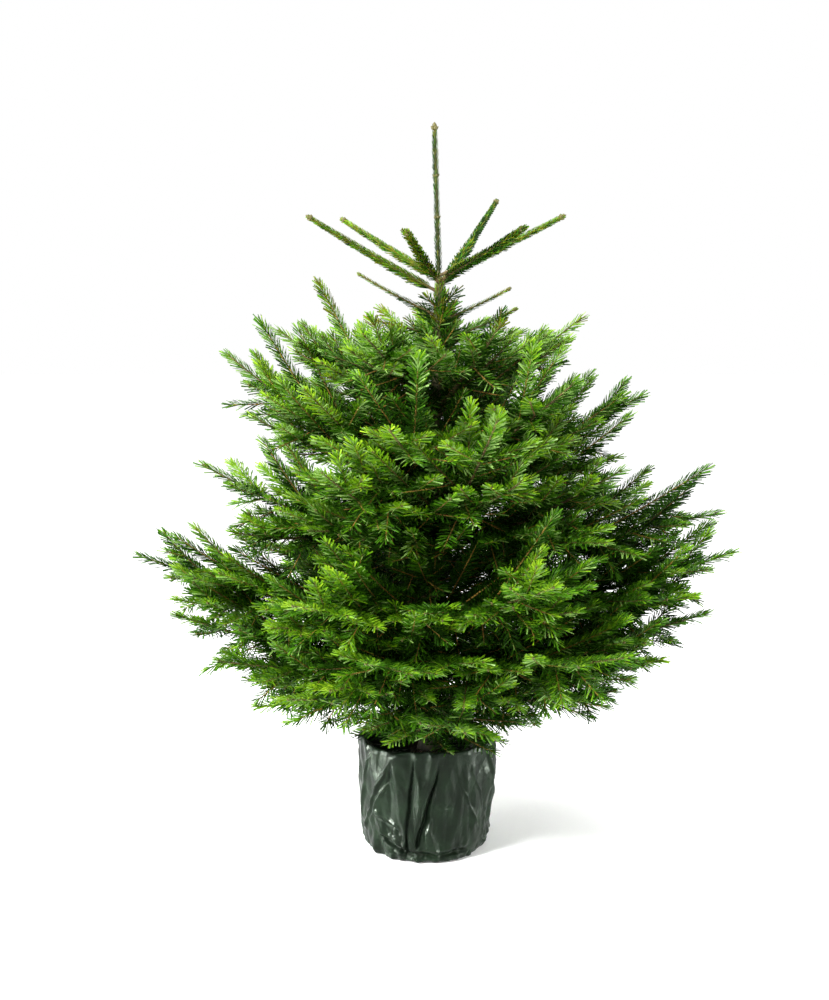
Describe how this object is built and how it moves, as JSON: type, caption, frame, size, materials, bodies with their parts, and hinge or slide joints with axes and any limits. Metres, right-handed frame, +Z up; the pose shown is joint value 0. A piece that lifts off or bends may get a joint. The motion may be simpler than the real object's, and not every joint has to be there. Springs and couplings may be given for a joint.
{
  "type": "potted fir tree",
  "caption": "Young pot-grown fir for Christmas: bare leader, broad tiered crown of needled boughs, straight trunk, nursery pot in a gathered dark plastic bag.",
  "frame": {"origin": "centre of the flat underside of the bagged pot", "axes": "+Z up along the trunk, -Y towards the front view, +X to its right"},
  "size_m": [0.9773, 0.8001, 1.2],
  "materials": {
    "bag_film": "satin",
    "compost": "rough",
    "bark": "rough",
    "foliage": "satin"
  },
  "bodies": {
    "root": {"pot_bag": "bag_film", "compost": "compost", "trunk": "bark", "bough_fourth_1": "bark", "bough_fourth_2": "bark", "bough_fourth_3": "bark", "bough_fourth_4": "bark", "bough_fourth_5": "bark", "bough_fourth_6": "bark", "bough_fifth_1": "bark", "bough_fifth_2": "bark", "bough_fifth_3": "bark", "bough_fifth_4": "bark", "bough_fifth_5": "bark", "bough_fifth_6": "bark", "spray_top_1": "foliage", "spray_top_2": "foliage", "spray_top_3": "foliage", "spray_top_4": "foliage", "spray_top_5": "foliage", "spray_top_6": "foliage", "spray_left_twig": "foliage", "spray_right_twig": "foliage", "spray_neck_1": "foliage", "spray_neck_2": "foliage", "spray_second_1": "foliage", "spray_second_2": "foliage", "spray_second_3": "foliage", "spray_second_4": "foliage", "spray_second_5": "foliage", "spray_third_1": "foliage", "spray_third_2": "foliage", "spray_third_3": "foliage", "spray_third_4": "foliage", "spray_third_5": "foliage", "spray_third_6": "foliage", "spray_fourth_1": "foliage", "spray_fourth_2": "foliage", "spray_fourth_3": "foliage", "spray_fourth_4": "foliage", "spray_fourth_5": "foliage", "spray_fourth_6": "foliage", "spray_fifth_1": "foliage", "spray_fifth_2": "foliage", "spray_fifth_3": "foliage", "spray_fifth_4": "foliage", "spray_fifth_5": "foliage", "spray_fifth_6": "foliage", "spray_sixth_1": "foliage", "spray_sixth_2": "foliage", "spray_sixth_3": "foliage", "spray_sixth_4": "foliage", "spray_sixth_5": "foliage", "spray_sixth_6": "foliage", "spray_lowest_1": "foliage", "spray_lowest_2": "foliage", "spray_lowest_3": "foliage", "spray_lowest_4": "foliage", "spray_lowest_5": "foliage", "spray_lowest_6": "foliage"}
  },
  "joints": []
}
